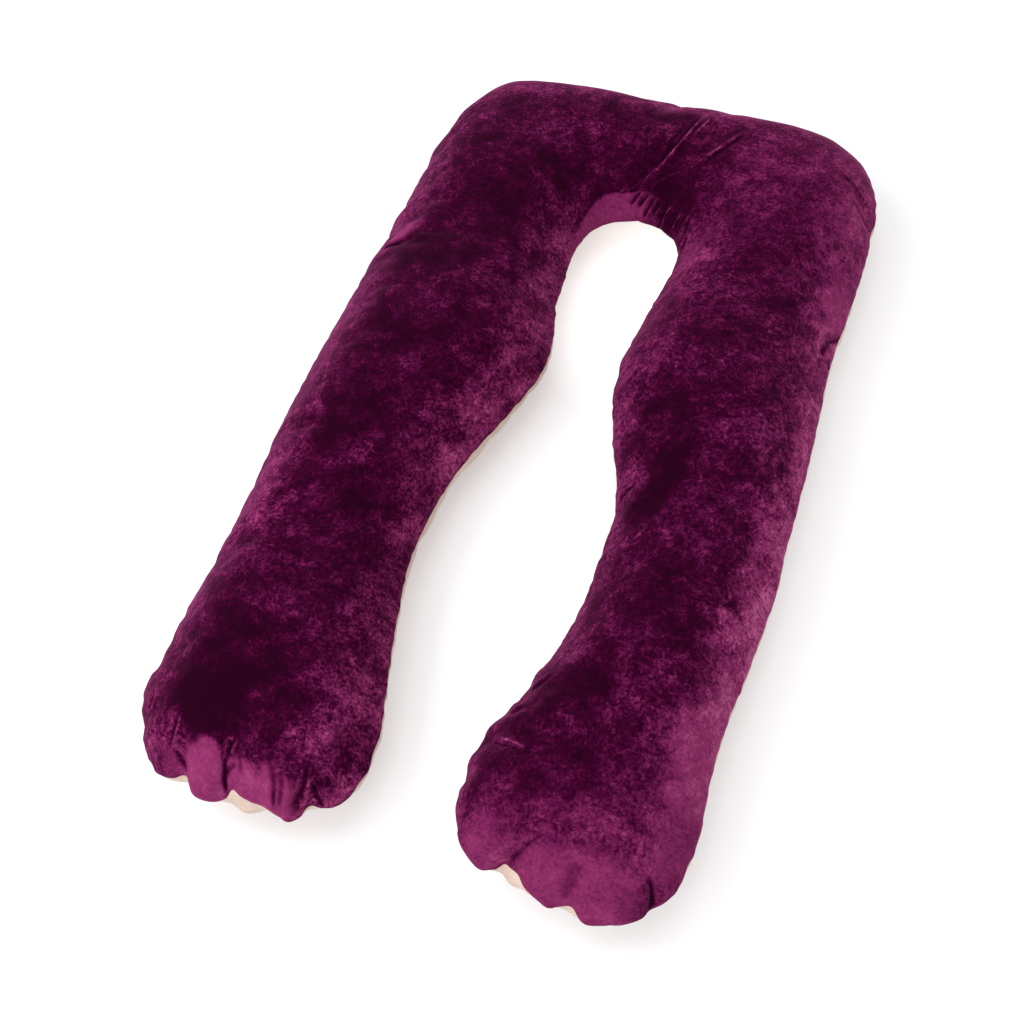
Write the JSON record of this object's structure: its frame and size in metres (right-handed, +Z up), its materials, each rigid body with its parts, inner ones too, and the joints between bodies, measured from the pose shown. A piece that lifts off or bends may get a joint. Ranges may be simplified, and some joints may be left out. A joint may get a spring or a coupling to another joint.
{
  "type": "body pillow",
  "caption": "U-shaped body pillow for side sleepers, filled, with a velvet top panel and a cotton underside.",
  "frame": {"origin": "centre of the bounding box in plan, on the surface the pillow lies on", "axes": "+Z up, away from the flat underside; +Y from the two feet of the U towards its head; +X to the right"},
  "size_m": [0.7222, 1.3104, 0.1747],
  "materials": {
    "velvet": "plum crushed velvet",
    "cotton": "cream woven cotton"
  },
  "bodies": {
    "root": {"velvet_top": "velvet", "cream_underside": "cotton"}
  },
  "joints": []
}
